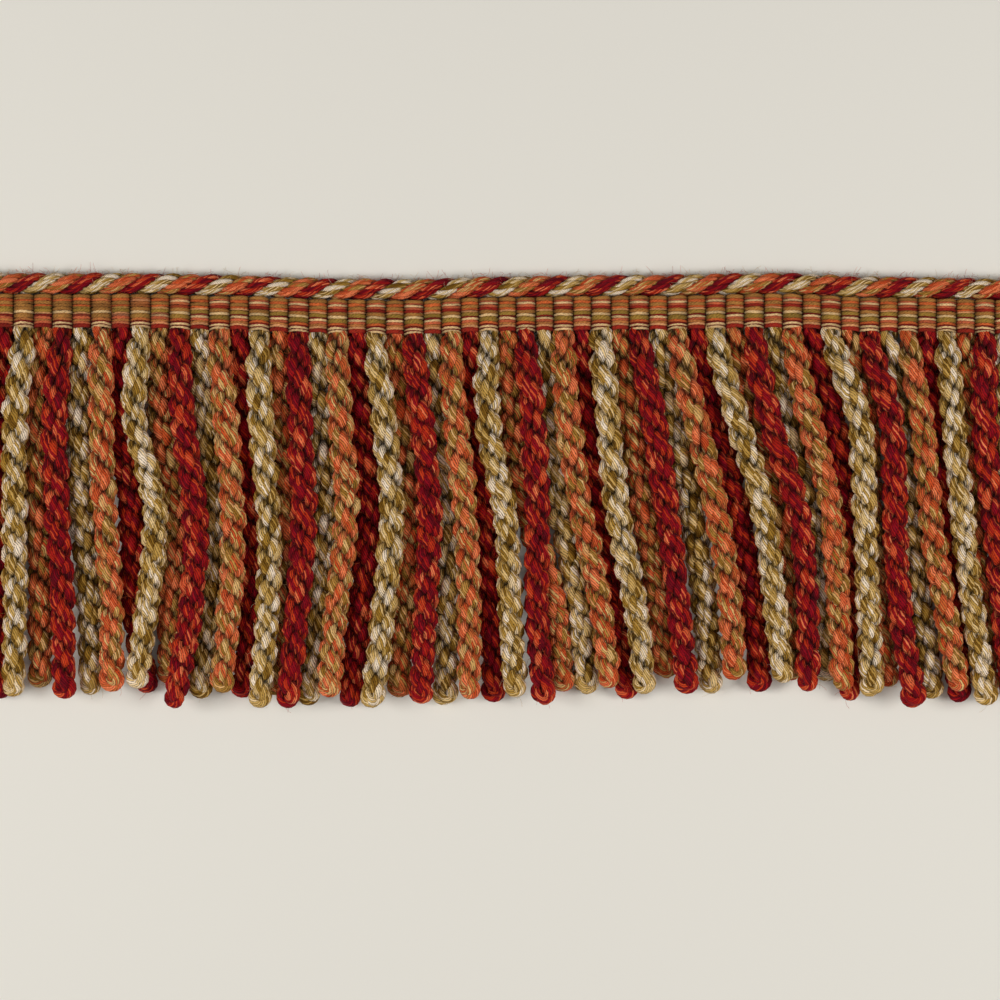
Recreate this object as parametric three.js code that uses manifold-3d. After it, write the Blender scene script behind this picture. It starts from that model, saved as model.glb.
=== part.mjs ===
// A cut length of bullion fringe, the furnishing trim, lying flat with its face up. Millimetres, +Z up.
// X runs along the trim, +Y points from the strand tips to the corded edge, and the back of the heading is at z = 0.
// A ribbed woven heading carries a twisted lip cord along its top edge. Looped, twisted strands ("bullions") in
// three yarns leave its lower edge, one under each rib. Every other strand lies in the upper layer.
import * as THREE from "three";
import { mergeVertices } from "three/addons/utils/BufferGeometryUtils.js";
import Module from "manifold-3d";

const wasm = await Module();
wasm.setup();

// Driving dimensions
const RIB_PITCH = 3.85;
const RIB_COUNT = 56;
const LENGTH = RIB_PITCH * RIB_COUNT;
const GAP = 0.3; // between pieces that touch

// Ribs stand a little wider apart in one stretch, so those after it are pushed along by up to this much.
const RIB_DRIFT = { most: 1.3, atRib: 20, spread: 9.2 };

const HEADING = { height: 6.4, valley: 3.7, lowCrest: 4.6, highCrest: 5.2, stepsPerRib: 4 };
const LIP_CORD = { radius: 2.1, groove: 1.42, plies: 3, lay: 11.65, stepsPerLay: 9, shoulderDeg: 28, lift: 0.3 };
const ROOT_STRIP = { height: 1.6, thickness: 1.3, inset: 0.1, steps: RIB_COUNT / 2 };

// Each strand is four-sided. The lower layer rests on the surface, and the upper layer lies on it.
const LAYERS = {
  lower: { floor: 0, height: 4.0, width: 3.7 },
  upper: { floor: 4.3, height: 4.2, width: 4.5 },
};
const ROOT_WIDTH = 3.2;
const TIP = { width: 0.55, height: 0.62, length: 1.3 };
// How far below the heading the cross-sections of a strand stand. It leaves its strip level and narrow, comes to
// its own layer, and only then opens to its full width, so that it clears its neighbours.
const IN_STRIP = [1.0, 2.1];
const IN_LAYER = 4.5;
const FULL_WIDTH = 7;
const SECTIONS = [...IN_STRIP, IN_LAYER, FULL_WIDTH, 14, 22, 31, 40, 49, 58, 66];

// The heading doesn't lie quite straight: how far it dips, at places along the trim.
const DIPS = [
  { along: -108, dip: 0 },
  { along: -72, dip: 0.05 },
  { along: -55, dip: 0.4 },
  { along: -30, dip: 1.15 },
  { along: -17, dip: 1.3 },
  { along: 0, dip: 0.7 },
  { along: 30, dip: 0.4 },
  { along: 57, dip: 0 },
  { along: 77, dip: 0.8 },
  { along: 108, dip: 1.2 },
];

// The yarns in the order that they follow from rib to rib, and the level of the strip that holds each one's roots
const YARNS = [
  { name: "bullions_cream", stripFloor: 3.3, colour: 0xb5a677 },
  { name: "bullions_terracotta", stripFloor: 1.65, colour: 0xb9774b },
  { name: "bullions_red", stripFloor: 0, colour: 0x96281b },
];

// One row for each strand from left to right: how far it has swung sideways from its rib at a quarter, a half and
// three quarters of its drop and at its tip, and the drop itself. The first is in the lower layer, the next in the
// upper, and so on by turns.
const COLUMNS = ["quarter", "half", "threeQuarters", "tip", "drop"];
const STRANDS = [
  [-0.6, -1.0, -0.9, -1.2, 73.4],
  [-0.8, -1.2, -1.0, -1.4, 73.0],
  [-0.6, -1.0, -1.2, -1.0, 74.2],
  [-1.4, -1.6, -1.5, -1.8, 73.8],
  [-1.3, -1.1, -0.5, -0.7, 72.0],
  [-1.3, -0.8, 0.3, 0.5, 74.0],
  [-0.7, 0.1, 1.5, 1.6, 73.6],
  [0.3, 0.8, 2.2, 2.2, 72.6],
  [-0.2, 2.0, 2.5, 5.5, 73.4],
  [-1.0, 3.0, 1.8, -0.8, 72.0],
  [0.0, 3.0, 2.2, 2.0, 71.0],
  [0.9, 3.3, 2.3, -1.1, 75.8],
  [1.2, 2.5, 2.0, -0.3, 73.8],
  [1.4, 2.8, 2.3, 0.4, 72.7],
  [0.9, 2.2, 2.0, 0.4, 73.6],
  [0.5, 2.0, 1.9, 0.2, 75.4],
  [0.3, 1.3, 0.7, -0.5, 72.8],
  [0.5, 1.1, -0.2, -2.3, 75.3],
  [0.7, 1.4, -0.3, -2.1, 74.6],
  [0.7, 1.9, -0.1, -1.7, 72.7],
  [1.0, 2.5, 0.7, -1.7, 75.0],
  [1.8, 3.2, 1.6, -0.8, 74.7],
  [1.3, 2.5, 1.9, 0.6, 72.9],
  [1.8, 3.2, 2.4, 1.4, 74.0],
  [1.4, 2.8, 2.9, 2.5, 74.4],
  [1.0, 2.8, 3.6, 3.5, 73.3],
  [0.9, 3.2, 4.3, 4.8, 74.1],
  [-0.1, 3.3, 4.3, 5.4, 73.5],
  [1.1, 4.1, 9.3, 11.4, 72.4],
  [1.5, 2.3, 2.2, 3.5, 74.7],
  [1.0, 3.4, 6.9, 8.5, 72.7],
  [0.9, 3.5, 7.1, 9.3, 71.8],
  [1.1, 3.3, 6.3, 9.1, 73.8],
  [1.4, 3.2, 6.6, 8.8, 72.9],
  [2.2, 4.5, 7.4, 9.0, 69.8],
  [2.9, 5.5, 7.7, 9.5, 72.7],
  [3.0, 6.8, 9.3, 10.6, 73.0],
  [3.4, 7.4, 10.2, 11.4, 70.2],
  [3.0, 8.3, 10.9, 13.0, 72.5],
  [4.1, 9.1, 11.5, 13.3, 70.9],
  [3.7, 8.7, 10.8, 11.5, 70.6],
  [2.9, 8.5, 10.5, 10.6, 72.7],
  [2.3, 6.7, 9.6, 11.1, 70.7],
  [3.1, 7.5, 8.9, 10.1, 72.7],
  [4.3, 6.9, 7.4, 7.7, 74.6],
  [5.5, 6.6, 7.2, 8.0, 73.4],
  [3.1, 3.9, 5.5, 7.9, 71.4],
  [4.2, 4.9, 6.0, 9.0, 75.1],
  [2.1, 4.1, 6.5, 9.1, 73.4],
  [2.5, 4.3, 6.9, 10.1, 72.0],
  [1.6, 3.3, 5.4, 6.8, 74.2],
  [1.3, 2.9, 5.1, 7.9, 74.4],
  [0.3, 1.5, 3.2, 4.6, 71.8],
  [-0.3, 1.5, 3.3, 5.3, 74.0],
  [0.2, 1.6, 3.2, 5.0, 73.4],
  [0.4, 1.8, 3.6, 5.0, 72.8],
].map((row) => Object.fromEntries(COLUMNS.map((name, i) => [name, row[i]])));

const { clamp, degToRad, lerp, smoothstep } = THREE.MathUtils;

// A smooth value between two stations, from their values and slopes. share runs from 0 to 1.
function hermite(a, b, slopeA, slopeB, share) {
  const s2 = share * share;
  const s3 = s2 * share;
  return (
    a * (2 * s3 - 3 * s2 + 1) +
    b * (3 * s2 - 2 * s3) +
    slopeA * (s3 - 2 * s2 + share) +
    slopeB * (s3 - s2)
  );
}

// How far the heading is below its highest line at this place along the trim.
function dipAt(x) {
  const last = DIPS.length - 2;
  const next = DIPS.findIndex((station) => station.along > x);
  const i = clamp(next < 0 ? last : next - 1, 0, last);
  return lerp(DIPS[i].dip, DIPS[i + 1].dip, smoothstep(x, DIPS[i].along, DIPS[i + 1].along));
}

function ribCentre(rib) {
  const { most, atRib, spread } = RIB_DRIFT;
  const drift = most * Math.exp(-(((rib - atRib) / spread) ** 2));
  return -LENGTH / 2 + RIB_PITCH * (rib + 0.5) + drift;
}

// A strand's sideways swing at a share of its drop. It leaves the heading square to it.
function swing(strand, share) {
  const stops = [0, strand.quarter, strand.half, strand.threeQuarters, strand.tip];
  const i = Math.min(Math.floor(share * 4), 3);
  const slopes = stops.map((stop, k) =>
    k === 0 ? 0 : k === 4 ? stops[4] - stops[3] : (stops[k + 1] - stops[k - 1]) / 2,
  );
  return hermite(stops[i], stops[i + 1], slopes[i], slopes[i + 1], share * 4 - i);
}

// Moves each vertex of a geometry by a function of its place, and leaves one closed surface.
function reshape(geometry, place) {
  geometry.deleteAttribute("normal");
  geometry.deleteAttribute("uv");
  const at = geometry.getAttribute("position");
  const point = new THREE.Vector3();
  for (let i = 0; i < at.count; i++) {
    point.fromBufferAttribute(at, i);
    at.setXYZ(i, ...place(point));
  }
  return mergeVertices(geometry, 1e-4);
}

function solidFrom(geometry) {
  const vertProperties = geometry.getAttribute("position").array;
  const triVerts = new Uint32Array(geometry.index.array);
  return new wasm.Manifold(new wasm.Mesh({ numProp: 3, vertProperties, triVerts }));
}

function geometryFrom(solid) {
  const mesh = solid.getMesh();
  const geometry = new THREE.BufferGeometry();
  geometry.setAttribute("position", new THREE.BufferAttribute(new Float32Array(mesh.vertProperties), 3));
  geometry.setIndex(new THREE.BufferAttribute(new Uint32Array(mesh.triVerts), 1));
  geometry.computeVertexNormals();
  return geometry;
}

function piece(name, geometry, colour, roughness) {
  const material = new THREE.MeshStandardMaterial({ color: colour, roughness, metalness: 0 });
  const mesh = new THREE.Mesh(geometry, material);
  mesh.name = name;
  return mesh;
}

// The woven heading: a band whose face rises over the cord in each rib, with a flat back.
function headingGeometry() {
  const { height, valley, lowCrest, highCrest, stepsPerRib } = HEADING;
  const box = new THREE.BoxGeometry(RIB_COUNT, 1, 1, RIB_COUNT * stepsPerRib, 1, 1);
  return reshape(box, ({ x, y, z }) => {
    const ribs = x + RIB_COUNT / 2; // whole numbers are the lines between ribs
    const rib = Math.min(Math.floor(ribs + 1e-6), RIB_COUNT - 1);
    const crest = rib % 2 ? highCrest : lowCrest;
    const face = valley + (crest - valley) * Math.sin(Math.PI * (ribs - rib));
    const end = ribs < 1e-6 || ribs > RIB_COUNT - 1e-6;
    const across = end ? Math.sign(x) * (LENGTH / 2) : ribCentre(ribs - 0.5);
    return [across, (y + 0.5) * height - dipAt(across), z > 0 ? face : 0];
  });
}

// The lip cord: three plies laid up into one rope along the heading's top edge. In section each ply has three
// corners: the groove before it and its two shoulders.
function lipCordGeometry() {
  const { radius, groove, plies, lay, stepsPerLay, shoulderDeg, lift } = LIP_CORD;
  const plyDeg = 360 / plies;
  const corners = [
    { turnDeg: 0, reach: groove },
    { turnDeg: plyDeg / 2 - shoulderDeg, reach: radius },
    { turnDeg: plyDeg / 2 + shoulderDeg, reach: radius },
  ];
  const sides = plies * corners.length;
  const centreY = HEADING.height + GAP + radius;
  const rope = new THREE.CylinderGeometry(1, 1, LENGTH, sides, Math.round((LENGTH / lay) * stepsPerLay));
  return reshape(rope, ({ x: u, y: along, z: v }) => {
    const side = Math.round((Math.atan2(v, u) / (2 * Math.PI)) * sides + sides) % sides;
    const corner = corners[side % corners.length];
    const ply = Math.floor(side / corners.length);
    const angle = degToRad(ply * plyDeg + corner.turnDeg) + (2 * Math.PI * along) / lay;
    const onAxis = Math.hypot(u, v) < 0.5;
    const reach = onAxis ? 0 : corner.reach;
    return [
      along,
      centreY + reach * Math.sin(angle) - dipAt(along),
      lift + radius + reach * Math.cos(angle),
    ];
  });
}

// The narrow strip that holds one yarn's roots, just under the heading.
function rootStripGeometry(yarn) {
  const { height, thickness, steps } = ROOT_STRIP;
  const box = new THREE.BoxGeometry(LENGTH, height, thickness, steps, 1, 1);
  return reshape(box, ({ x, y, z }) => [
    x,
    y - GAP - height / 2 - dipAt(x),
    yarn.stripFloor + thickness / 2 + z,
  ]);
}

// One strand, from inside its root strip to its tip.
function strandGeometry(strand, rib, yarn) {
  const layer = rib % 2 ? LAYERS.upper : LAYERS.lower;
  const root = ribCentre(rib);
  const { inset, thickness } = ROOT_STRIP;
  const downs = [...SECTIONS, strand.drop - TIP.length, strand.drop];
  const box = new THREE.BoxGeometry(1, downs.length - 1, 1, 1, downs.length - 1, 1);
  return reshape(box, ({ x, y, z }) => {
    const section = Math.round((downs.length - 1) / 2 - y);
    const down = downs[section];
    const atTip = section === downs.length - 1;
    const width = (down < FULL_WIDTH ? ROOT_WIDTH : layer.width) * (atTip ? TIP.width : 1);
    const height = (down < IN_LAYER ? thickness - 2 * inset : layer.height) * (atTip ? TIP.height : 1);
    const floor = down < IN_LAYER ? yarn.stripFloor + inset : layer.floor;
    return [
      root + swing(strand, down / strand.drop) + x * width,
      -down - dipAt(root),
      floor + (z + 0.5) * height,
    ];
  });
}

function bullions(yarn, place) {
  let joined = solidFrom(rootStripGeometry(yarn));
  STRANDS.forEach((strand, rib) => {
    if (rib % YARNS.length === place) joined = joined.add(solidFrom(strandGeometry(strand, rib, yarn)));
  });
  return piece(yarn.name, geometryFrom(joined), yarn.colour, 0.95);
}

const fringe = new THREE.Group();
fringe.name = "bullion_fringe";
fringe.add(piece("heading", headingGeometry(), 0xb0713f, 0.85));
fringe.add(piece("lip_cord", lipCordGeometry(), 0xa8663c, 0.9));
YARNS.forEach((yarn, place) => fringe.add(bullions(yarn, place)));

// The origin is the middle of the whole piece's footprint, on the surface that it lies on.
const bounds = new THREE.Box3().setFromObject(fringe);
const middle = bounds.getCenter(new THREE.Vector3());
fringe.position.set(-middle.x, -middle.y, -bounds.min.z);

export default fringe;
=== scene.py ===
# %% [markdown]
# Bullion fringe
# A cut length of furnishing fringe lies face up on a pale table. It has a twisted lip cord, a ribbed
# woven heading, and looped, twisted strands ("bullions") in three yarns, one strand under each rib.
# Everything here is yarn, so one idea makes it all: a line is wound round another line, and the last
# lines get a round section. A strand is yarns wound into a cord, and the cord is folded in half and wound
# on itself.

import math

import bpy
import numpy as np
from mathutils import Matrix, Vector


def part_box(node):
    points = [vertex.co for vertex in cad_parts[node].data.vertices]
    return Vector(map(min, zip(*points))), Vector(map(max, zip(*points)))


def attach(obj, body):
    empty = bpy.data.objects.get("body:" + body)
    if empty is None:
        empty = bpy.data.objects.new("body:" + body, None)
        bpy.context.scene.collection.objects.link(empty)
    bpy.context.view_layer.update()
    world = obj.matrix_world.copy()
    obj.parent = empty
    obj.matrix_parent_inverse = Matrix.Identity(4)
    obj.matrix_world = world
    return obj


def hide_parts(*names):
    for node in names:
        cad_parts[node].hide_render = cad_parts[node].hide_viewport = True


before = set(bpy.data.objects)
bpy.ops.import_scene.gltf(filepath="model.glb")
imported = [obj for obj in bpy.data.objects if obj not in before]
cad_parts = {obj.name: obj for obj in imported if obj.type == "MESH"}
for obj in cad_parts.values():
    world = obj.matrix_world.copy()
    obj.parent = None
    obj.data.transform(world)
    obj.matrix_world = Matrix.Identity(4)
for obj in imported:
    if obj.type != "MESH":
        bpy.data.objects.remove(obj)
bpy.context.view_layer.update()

# %% [markdown]
# Where things are
# The CAD model's own sizes are repeated here in millimetres, because its source isn't read. Its heading
# gives the place: the heading starts at its left end, and its highest line is the top of its box. A point
# is worked out in the trim's own millimetres, from the middle of the heading's lower edge. It is moved to
# the frame's metres when its mesh is made.

# %% The trim's own sizes and places
MM = 0.001
RIB_PITCH = 3.85
RIB_COUNT = 56
LENGTH = RIB_PITCH * RIB_COUNT
HEADING_HEIGHT = 6.4
RIB_DRIFT, DRIFT_AT, DRIFT_SPREAD = 1.3, 20, 9.2
DIP_ALONG = (-108, -72, -55, -30, -17, 0, 30, 57, 77, 108)
DIP = (0, 0.05, 0.4, 1.15, 1.3, 0.7, 0.4, 0, 0.8, 1.2)
heading_low, heading_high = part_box("heading")
ORIGIN = np.array([heading_low[0] / MM + LENGTH / 2, heading_high[1] / MM - HEADING_HEIGHT, 0.0])


def eased(share):
    """A share from 0 to 1 that starts and ends gently."""
    return share * share * (3 - 2 * share)


def dip_at(x):
    """How far the heading is below its highest line, in mm."""
    along = np.asarray(DIP_ALONG, float)
    i = np.clip(np.searchsorted(along, x, side="right") - 1, 0, len(along) - 2)
    share = np.clip((x - along[i]) / (along[i + 1] - along[i]), 0, 1)
    dips = np.asarray(DIP, float)
    return dips[i] + (dips[i + 1] - dips[i]) * eased(share)


def rib_line(ribs):
    """Where the line between two ribs is along the trim. Half numbers are the ribs' middles."""
    drift = RIB_DRIFT * np.exp(-(((ribs - 0.5 - DRIFT_AT) / DRIFT_SPREAD) ** 2))
    return -LENGTH / 2 + RIB_PITCH * ribs + drift


print("The trim's own origin in the frame, mm:", np.round(ORIGIN, 2))

# %% [markdown]
# Camera, light and table
# The photo looks straight down from far off, so the camera has a long lens. It looks at the middle of the
# photo's frame, which is 200 mm wide. Flat work is lit by a lamp on either side, halfway up, so that the
# two cancel each other's shadows on the table but leave the gaps between the strands dark. A weak lamp
# overhead and a pale room fill the rest.

# %% Camera
VIEW_WIDTH = 200.0
VIEW_MIDDLE = np.array([1.1, -34.8, 5.0])
CAMERA_HEIGHT = 1000.0
SENSOR = 36.0
NEAREST = 0.01

camera = bpy.data.objects.new("camera", bpy.data.cameras.new("camera"))
bpy.context.collection.objects.link(camera)
camera.data.sensor_width = SENSOR
camera.data.lens = SENSOR * CAMERA_HEIGHT / VIEW_WIDTH
camera.data.clip_start = NEAREST
camera.location = (ORIGIN + VIEW_MIDDLE + [0, 0, CAMERA_HEIGHT]) * MM
bpy.context.scene.camera = camera
print("Camera at, m:", [round(v, 4) for v in camera.location])

# %% Light
PANELS = (
    # name, place in m, size in m, watts, colour
    ("left", (-0.53, -0.05, 0.52), 0.30, 2.95, (1.0, 0.998, 0.995)),
    ("right", (0.53, -0.08, 0.52), 0.30, 2.88, (1.0, 0.998, 1.0)),
    ("top", (-0.05, -0.08, 1.00), 0.70, 1.1, (1.0, 0.998, 1.0)),
)
ROOM_LIGHT = 0.15
ROOM_COLOUR = (1.0, 0.985, 0.955, 1)


def add_panel(name, place, size, watts, colour):
    light = bpy.data.lights.new(name, "AREA")
    light.size = size
    light.energy = watts
    light.color = colour
    panel = bpy.data.objects.new(name, light)
    panel.location = place
    panel.rotation_euler = (-panel.location).to_track_quat("-Z", "Y").to_euler()
    bpy.context.collection.objects.link(panel)


for row in PANELS:
    add_panel(*row)

world = bpy.data.worlds.new("room")
bpy.context.scene.world = world
world.use_nodes = True
world.node_tree.nodes["Background"].inputs["Color"].default_value = ROOM_COLOUR
world.node_tree.nodes["Background"].inputs["Strength"].default_value = ROOM_LIGHT
bpy.context.scene.view_settings.view_transform = "Standard"
print("Light panels:", [row[0] for row in PANELS])

# %% [markdown]
# Shader maths
# A node tree is easier to read as a formula. This class holds one output of a node tree. A sum of two
# outputs is written a + b, and the Math node is added behind it. Every node comes from its one node
# method.


# %% Signals in a node tree
class Signal:
    """One output socket in a node tree."""

    def __init__(self, tree, socket=None):
        self.tree = tree
        self.socket = socket

    def node(self, kind, settings=None, inputs=None, output=0):
        made = self.tree.nodes.new(kind)
        for name, value in (settings or {}).items():
            if name == "stops":
                fill_ramp(made.color_ramp, value)
            else:
                setattr(made, name, value)
        for name, value in (inputs or {}).items():
            if isinstance(value, Signal):
                self.tree.links.new(value.socket, made.inputs[name])
            else:
                made.inputs[name].default_value = value
        return Signal(self.tree, made.outputs[output])

    def maths(self, operation, first, second=0.0):
        return self.node("ShaderNodeMath", {"operation": operation}, {0: first, 1: second})

    def __add__(self, other):
        return self.maths("ADD", self, other)

    def __sub__(self, other):
        return self.maths("SUBTRACT", self, other)

    def __rsub__(self, other):
        return self.maths("SUBTRACT", other, self)

    def __mul__(self, other):
        return self.maths("MULTIPLY", self, other)

    def __mod__(self, other):
        return self.maths("FLOORED_MODULO", self, other)

    __radd__ = __add__
    __rmul__ = __mul__

    def floor(self):
        return self.maths("FLOOR", self)

    def cosine(self):
        return self.maths("COSINE", self)

    def clipped(self):
        return self.node("ShaderNodeClamp", inputs={0: self})

    def vector_with(self, y, z):
        return self.node("ShaderNodeCombineXYZ", inputs={0: self, 1: y, 2: z})


def fill_ramp(ramp, stops):
    """Sets a colour ramp from (place, colour) stops."""
    while len(ramp.elements) < len(stops):
        ramp.elements.new(1.0)
    for element, (place, colour) in zip(ramp.elements, stops):
        element.position = place
        element.color = colour


def dye(red, green, blue):
    """A colour as seen on a screen, 0 to 255, as the linear colour that a shader needs."""
    linear = [((v / 255 + 0.055) / 1.055) ** 2.4 if v > 10 else v / 3295 for v in (red, green, blue)]
    return tuple(linear) + (1.0,)


print("A mid grey in linear light:", round(dye(128, 128, 128)[0], 3))

# %% [markdown]
# The table top
# A plain matt surface of a warm off-white, with nothing on it but the fringe's own soft shadow.

# %% Table top
FLOOR_COLOUR = dye(228, 224, 214)
FLOOR_SIZE = 3.0
FLOOR_ROUGHNESS, FLOOR_SPECULAR = 0.9, 0.1


def add_floor():
    half = FLOOR_SIZE / 2
    mesh = bpy.data.meshes.new("floor")
    corners = [(-half, -half, 0), (half, -half, 0), (half, half, 0), (-half, half, 0)]
    mesh.from_pydata(corners, [], [(0, 1, 2, 3)])
    material = bpy.data.materials.new("floor")
    material.use_nodes = True
    shader = material.node_tree.nodes["Principled BSDF"]
    shader.inputs["Base Color"].default_value = FLOOR_COLOUR
    shader.inputs["Roughness"].default_value = FLOOR_ROUGHNESS
    shader.inputs["Specular IOR Level"].default_value = FLOOR_SPECULAR
    mesh.materials.append(material)
    floor = bpy.data.objects.new("floor", mesh)
    bpy.context.collection.objects.link(floor)


add_floor()
print("Floor laid,", FLOOR_SIZE, "m wide")

# %% [markdown]
# Winding lines round lines
# To wind a line round another, each point of the centre line needs two directions across it that don't
# spin by themselves. They are carried along from the first point, each time turned only as much as the
# line turns. Lines are kept in arrays of (lines, points, 3), so that all the strands are wound at the
# same time.


# %% Directions across a line
def unit(vectors):
    return vectors / np.linalg.norm(vectors, axis=-1, keepdims=True)


def directions_across(lines, start):
    """Two directions across each point of the lines, carried along without spin from the start."""
    ahead = unit(np.gradient(lines, axis=1))
    side = np.empty_like(lines)
    carried = np.broadcast_to(np.asarray(start, float), lines[:, 0].shape)
    for k in range(lines.shape[1]):
        carried = unit(carried - ahead[:, k] * np.sum(carried * ahead[:, k], axis=-1, keepdims=True))
        side[:, k] = carried
    return side, np.cross(ahead, side)


def wind(lines, reach, turn, start=(0, 0, 1)):
    """Lines wound round the given ones, reach away from them, at angle turn (radians) at each point."""
    side, other = directions_across(lines, start)
    return lines + (reach * np.cos(turn))[..., None] * side + (reach * np.sin(turn))[..., None] * other


straight_line = np.array([[[0.0, 0, 0], [1, 0, 0], [2, 0, 0]]])
wound_line = wind(straight_line, 1.0, np.array([[0, math.pi / 2, math.pi]]))
print("Three points wound half way round a straight line:", wound_line[0].round(1).tolist())


# %% Slow random wander
def wander(rng, lines, points, amount, knots):
    """Smooth random values from -amount to amount along each line, with the given number of knots."""
    values = rng.uniform(-1, 1, (lines, knots))
    at = np.linspace(0, knots - 1, points)
    low = np.clip(at.astype(int), 0, knots - 2)
    share = eased(at - low)
    return amount * (values[:, low] * (1 - share) + values[:, low + 1] * share)


print("One slow wander:", np.round(wander(np.random.default_rng(1), 1, 5, 1.0, 3)[0], 2))

# %% [markdown]
# A yarn's skin
# Each yarn is a tube with closed ends. It carries two UV maps. "yarn" holds the yarn's number plus the
# share of the way round it, and the millimetres along it, which the material needs for its threads.
# "OFBake" lays the same skin out in rows in a square, so that no two places share a spot. Each point also
# carries a paint. For the heading it is the dye, with a painted shade where a warp yarn dips into a groove,
# and a painted shade for the dark rib filling. For the other yarns it is a place in the palette and how
# open the point lies, which the material turns into a painted shade that darkens a yarn where it dips in
# between the others.


# %% Tubes
def tube_faces(rings, sides, first):
    """The quads of one tube, as indices of its own grid of rings and sides."""
    ring = np.arange(rings - 1)[:, None] * sides
    side = np.arange(sides)[None, :]
    after = (side + 1) % sides
    quads = np.stack([ring + side, ring + after, ring + sides + after, ring + sides + side], axis=-1)
    return quads.reshape(-1, 4) + first


TABLE_GAP = 0.02
CAP_SIZE = 0.35
# Painted crevice shade: full below the first share of the way out to the face, gone above the second.
SHUT, OPEN = 0.57, 0.96


def openness_for_shade(outward):
    """How open a point lies, by its share of the way out to the face, for the painted crevice shade: 0 in a
    crevice, 1 on the face.
    """
    return eased(np.clip((outward - SHUT) / (OPEN - SHUT), 0, 1))


def tube_object(name, lines, wide, tall, sides, paint, start=(0, 0, 1), core=None):
    """One object of many tubes. At each point wide and tall are half sizes in mm and paint is four numbers.
    With a core, a middle line and a full size, the second number says how open each skin point lies, which
    the yarn material turns into painted crevice shade."""
    tubes, rings = lines.shape[:2]
    side, other = directions_across(lines, start)
    turn = np.arange(sides) * 2 * math.pi / sides
    across = (wide[..., None] * np.cos(turn))[..., None] * side[:, :, None]
    across = across + (tall[..., None] * np.sin(turn))[..., None] * other[:, :, None]
    skin = lines[:, :, None] + across
    paint = np.repeat(paint[:, :, None], sides, axis=2)
    if core is not None:
        middle, full = core
        away = np.linalg.norm(skin - middle[None, :, None], axis=-1)
        # How open each skin point lies, for the painted crevice shade.
        paint[..., 1] = openness_for_shade(away / full[None, :, None])
    points = (skin + ORIGIN).reshape(-1, 3)
    points[:, 2] = np.maximum(points[:, 2], TABLE_GAP)
    points = points * MM
    quads = np.concatenate([tube_faces(rings, sides, t * rings * sides) for t in range(tubes)])
    caps = []
    for t in range(tubes):
        base = t * rings * sides
        caps.append([base + sides - 1 - k for k in range(sides)])
        caps.append([base + (rings - 1) * sides + k for k in range(sides)])
    mesh = bpy.data.meshes.new(name)
    mesh.from_pydata(points.tolist(), [], quads.tolist() + caps)
    mesh.shade_smooth()
    add_yarn_uv(mesh, lines, sides)
    add_bake_uv(mesh, tubes, rings, sides)
    layer = mesh.color_attributes.new("paint", "FLOAT_COLOR", "POINT")
    layer.data.foreach_set("color", paint.ravel())
    piece = bpy.data.objects.new(name, mesh)
    bpy.context.collection.objects.link(piece)
    return piece


def add_yarn_uv(mesh, lines, sides):
    """The map that the threads follow: the tube's number and the way round it, and the mm along it."""
    tubes, rings = lines.shape[:2]
    steps = np.linalg.norm(np.diff(lines, axis=1), axis=-1)
    along = np.concatenate([np.zeros((tubes, 1)), np.cumsum(steps, axis=1)], axis=1)
    tube = np.arange(tubes)[:, None, None, None]
    corner_side = (np.arange(sides)[:, None] + [0, 1, 1, 0]) / sides
    around = np.broadcast_to(tube + corner_side, (tubes, rings - 1, sides, 4))
    corner_ring = np.arange(rings - 1)[:, None] + [0, 0, 1, 1]
    down = np.broadcast_to(along[:, corner_ring][:, :, None, :], (tubes, rings - 1, sides, 4))
    quads = np.stack([around, down], axis=-1).reshape(-1, 2)
    caps = np.zeros((tubes, 2, sides, 2))
    caps[..., 0] = np.arange(tubes)[:, None, None] + 0.5
    caps[:, 1, :, 1] = along[:, -1:]
    layer = mesh.uv_layers.new(name="yarn")
    layer.data.foreach_set("uv", np.concatenate([quads, caps.reshape(-1, 2)]).ravel())


def add_bake_uv(mesh, tubes, rings, sides):
    """Cuts the tubes' skins into rows that fill a square, a little apart, with the caps in a last row."""
    total = tubes * (rings - 1)
    per_row = math.ceil(math.sqrt(total * (sides + 1)))
    rows = math.ceil(total / per_row)
    size = max(per_row, rows * (sides + 1) + 1, 2 * tubes)
    cell = np.arange(total)
    column = (cell % per_row)[:, None, None]
    row = (cell // per_row)[:, None, None] * (sides + 1)
    corner_u = column + np.array([0, 0, 1, 1])
    corner_v = row + np.arange(sides)[:, None] + np.array([0, 1, 1, 0])
    quads = np.stack(np.broadcast_arrays(corner_u, corner_v), axis=-1).reshape(-1, 2)
    turn = np.arange(sides) * 2 * math.pi / sides
    middle = np.arange(2 * tubes)[:, None] + 0.5
    cap_u = middle + CAP_SIZE * np.cos(turn)
    cap_v = rows * (sides + 1) + 0.5 + CAP_SIZE * np.sin(turn) + 0 * middle
    caps = np.stack([cap_u, cap_v], axis=-1).reshape(-1, 2)
    layer = mesh.uv_layers.new(name="OFBake")
    layer.data.foreach_set("uv", (np.concatenate([quads, caps]) / size).ravel())


print("A tube of 3 rings and 4 sides has", len(tube_faces(3, 4, 0)), "quads")
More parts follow.
